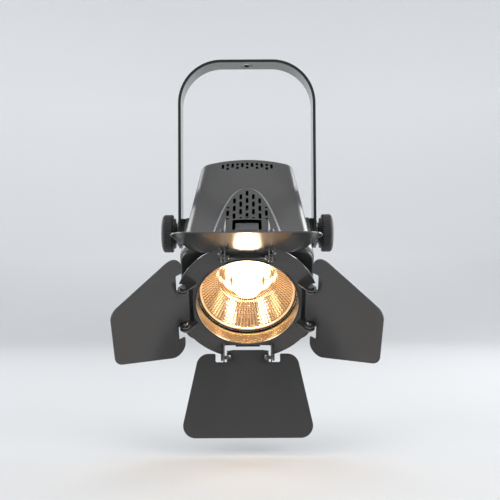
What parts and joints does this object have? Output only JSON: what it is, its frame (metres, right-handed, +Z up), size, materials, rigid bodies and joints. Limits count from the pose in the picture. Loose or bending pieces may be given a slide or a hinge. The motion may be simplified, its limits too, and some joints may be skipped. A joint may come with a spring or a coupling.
{
  "type": "stage spotlight",
  "caption": "Compact LED stage spotlight hung in a U-shaped yoke with clamp knobs, an open faceted reflector and a rotating barn door with folding leaves.",
  "frame": {"origin": "centre of the clamp bolt hole, on the yoke's top face", "axes": "+Z up, -Y towards the front, where the lamp points, tilted 35 degrees down at rest, +X to the right for someone in front of the lamp who looks at it"},
  "size_m": [0.2412, 0.3074, 0.3857],
  "materials": {
    "black_paint": "fine satin powder coat",
    "black_plastic": "fine grained",
    "rubber": "matt",
    "steel": "zinc plated",
    "aluminium": "plain",
    "mirror": "bright faceted reflector",
    "led": "glowing warm white",
    "circuit_board": "solder mask",
    "display_window": "clear over black"
  },
  "bodies": {
    "yoke": {"yoke": "black_paint", "knob_washer_left": "steel", "knob_washer_right": "steel"},
    "knob_left": {"knob_left": "black_plastic", "clamp_stud_left": "steel"},
    "knob_right": {"knob_right": "black_plastic", "clamp_stud_right": "steel"},
    "head": {"upper_cover": "black_paint", "lower_cover": "black_paint", "front_bezel": "black_plastic", "reflector_ring": "black_plastic", "reflector": "mirror", "led_dome": "led", "led_board": "aluminium", "heatsink": "aluminium", "driver_board": "circuit_board", "control_board": "circuit_board", "rear_panel": "black_paint", "display_window": "display_window", "fuse_holder": "black_plastic", "dmx_input": "black_plastic", "dmx_output": "black_plastic", "power_input": "black_plastic", "power_output": "black_plastic", "safety_loop": "steel", "latch_pin": "steel", "friction_disc_left": "rubber", "friction_disc_right": "rubber", "cover_screw_1": "steel", "cover_screw_2": "steel", "cover_screw_3": "steel", "cover_screw_4": "steel"},
    "latch": {"accessory_latch": "black_paint"},
    "barn_ring": {"barn_hub": "black_paint", "barn_plate": "black_paint", "hinge_screw_top_a": "steel", "hinge_screw_top_b": "steel", "hinge_screw_left_a": "steel", "hinge_screw_left_b": "steel", "hinge_screw_bottom_a": "steel", "hinge_screw_bottom_b": "steel", "hinge_screw_right_a": "steel", "hinge_screw_right_b": "steel"},
    "leaf_top": {"leaf_top": "black_paint"},
    "leaf_bottom": {"leaf_bottom": "black_paint"},
    "leaf_left": {"leaf_left": "black_paint"},
    "leaf_right": {"leaf_right": "black_paint"},
    "button_1": {"menu_button_1": "black_plastic"},
    "button_2": {"menu_button_2": "black_plastic"},
    "button_3": {"menu_button_3": "black_plastic"},
    "button_4": {"menu_button_4": "black_plastic"}
  },
  "joints": [
    {"name": "head_tilt", "type": "hinge", "parent": "yoke", "child": "head", "pos_m": [0, 0, -0.183], "axis": [1, 0, 0], "range_deg": [-70, 70]},
    {"name": "knob_left_turn", "type": "hinge", "parent": "yoke", "child": "knob_left", "pos_m": [-0.083, 0, -0.183], "axis": [-1, 0, 0], "range_deg": [0, 360]},
    {"name": "knob_right_turn", "type": "hinge", "parent": "yoke", "child": "knob_right", "pos_m": [0.083, 0, -0.183], "axis": [1, 0, 0], "range_deg": [0, 360]},
    {"name": "accessory_latch_lift", "type": "hinge", "parent": "head", "child": "latch", "pos_m": [0, -0.11007, -0.18707], "axis": [-1, 0, 0], "range_deg": [0, 45], "stiffness_Nm_per_rad": 0.01, "springref_deg": -22.92},
    {"name": "barn_door_turn", "type": "hinge", "parent": "head", "child": "barn_ring", "pos_m": [0, -0.09666, -0.25068], "axis": [0, -0.8192, -0.5736], "continuous": true},
    {"name": "leaf_top_fold", "type": "hinge", "parent": "barn_ring", "child": "leaf_top", "pos_m": [0, -0.14353, -0.21147], "axis": [1, 0, 0], "range_deg": [-45, 74]},
    {"name": "leaf_bottom_fold", "type": "hinge", "parent": "barn_ring", "child": "leaf_bottom", "pos_m": [0, -0.07584, -0.30813], "axis": [-1, 0, 0], "range_deg": [-40, 79]},
    {"name": "leaf_left_fold", "type": "hinge", "parent": "barn_ring", "child": "leaf_left", "pos_m": [-0.059, -0.10968, -0.2598], "axis": [0, -0.5736, 0.8192], "range_deg": [-40, 101]},
    {"name": "leaf_right_fold", "type": "hinge", "parent": "barn_ring", "child": "leaf_right", "pos_m": [0.059, -0.10968, -0.2598], "axis": [0, 0.5736, -0.8192], "range_deg": [-40, 101]},
    {"name": "menu_button_1_press", "type": "slide", "parent": "head", "child": "button_1", "axis": [0, -0.8192, -0.5736], "range_m": [0, 0.001], "stiffness_N_per_m": 300},
    {"name": "menu_button_2_press", "type": "slide", "parent": "head", "child": "button_2", "axis": [0, -0.8192, -0.5736], "range_m": [0, 0.001], "stiffness_N_per_m": 300},
    {"name": "menu_button_3_press", "type": "slide", "parent": "head", "child": "button_3", "axis": [0, -0.8192, -0.5736], "range_m": [0, 0.001], "stiffness_N_per_m": 300},
    {"name": "menu_button_4_press", "type": "slide", "parent": "head", "child": "button_4", "axis": [0, -0.8192, -0.5736], "range_m": [0, 0.001], "stiffness_N_per_m": 300}
  ]
}
